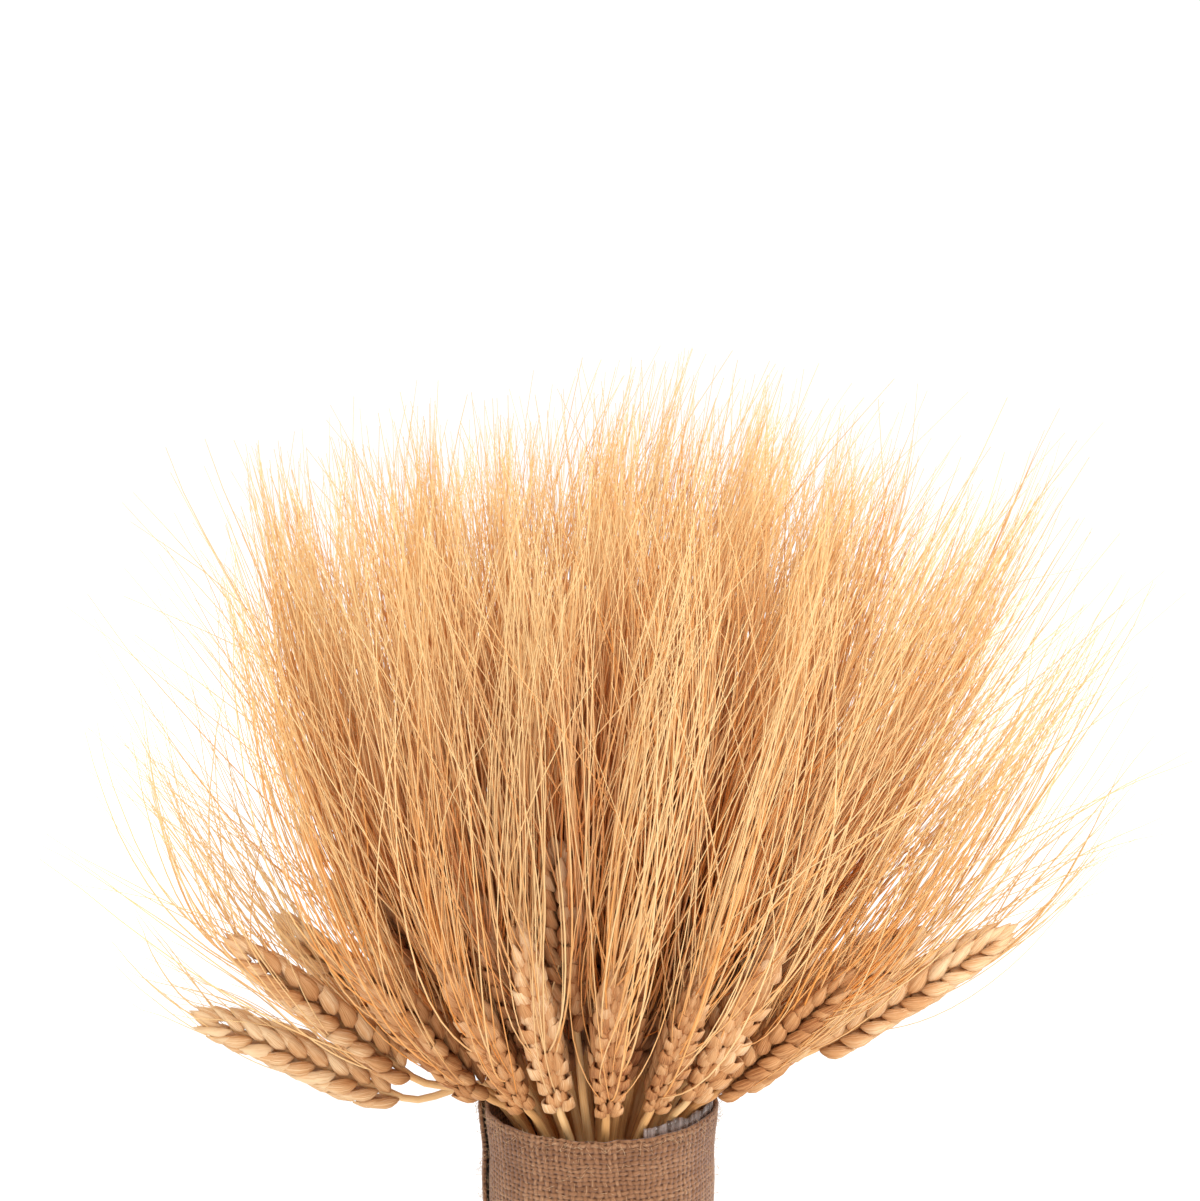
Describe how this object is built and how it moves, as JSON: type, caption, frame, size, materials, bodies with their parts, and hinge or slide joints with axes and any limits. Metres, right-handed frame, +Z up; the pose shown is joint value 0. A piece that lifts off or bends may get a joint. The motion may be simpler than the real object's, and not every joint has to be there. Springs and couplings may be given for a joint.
{
  "type": "dried wheat bundle",
  "caption": "Standing sheaf of dried bearded wheat: a wide brush of fine awns over drooping heads, the stems held in a rolled burlap wrap.",
  "frame": {"origin": "centre of the middle stalk's cut end, on the surface that the bundle stands on", "axes": "+Z up along the stems, -Y towards the front of the picture, +X to its right"},
  "size_m": [0.3885, 0.3321, 0.4298],
  "materials": {
    "straw": "dry golden straw, matt with a faint sheen along the stems and awns",
    "burlap": "coarse plain-woven jute with fuzzy threads and small gaps",
    "film": "thin clear film, slightly milky and pleated",
    "tie": "matt tan elastic band"
  },
  "bodies": {
    "root": {"stalk_01": "straw", "stalk_02": "straw", "stalk_03": "straw", "stalk_04": "straw", "stalk_05": "straw", "stalk_06": "straw", "stalk_07": "straw", "stalk_08": "straw", "stalk_09": "straw", "stalk_10": "straw", "stalk_11": "straw", "stalk_12": "straw", "stalk_13": "straw", "stalk_14": "straw", "stalk_15": "straw", "stalk_16": "straw", "stalk_17": "straw", "stalk_18": "straw", "stalk_19": "straw", "stalk_20": "straw", "stalk_21": "straw", "stalk_22": "straw", "stalk_23": "straw", "stalk_24": "straw", "stalk_25": "straw", "stalk_26": "straw", "stalk_27": "straw", "stalk_28": "straw", "stalk_29": "straw", "stalk_30": "straw", "stalk_31": "straw", "stalk_32": "straw", "stalk_33": "straw", "stalk_34": "straw", "stalk_35": "straw", "stalk_36": "straw", "stalk_37": "straw", "stalk_38": "straw", "stalk_39": "straw", "stalk_40": "straw", "stalk_41": "straw", "stalk_42": "straw", "stalk_43": "straw", "stalk_44": "straw", "stalk_45": "straw", "stalk_46": "straw", "stalk_47": "straw", "stalk_48": "straw", "stalk_49": "straw", "stalk_50": "straw", "stalk_51": "straw", "stalk_52": "straw", "stalk_53": "straw", "stalk_54": "straw", "stalk_55": "straw", "stalk_56": "straw", "stalk_57": "straw", "burlap_wrap": "burlap", "clear_film": "film", "stem_tie": "tie"}
  },
  "joints": []
}
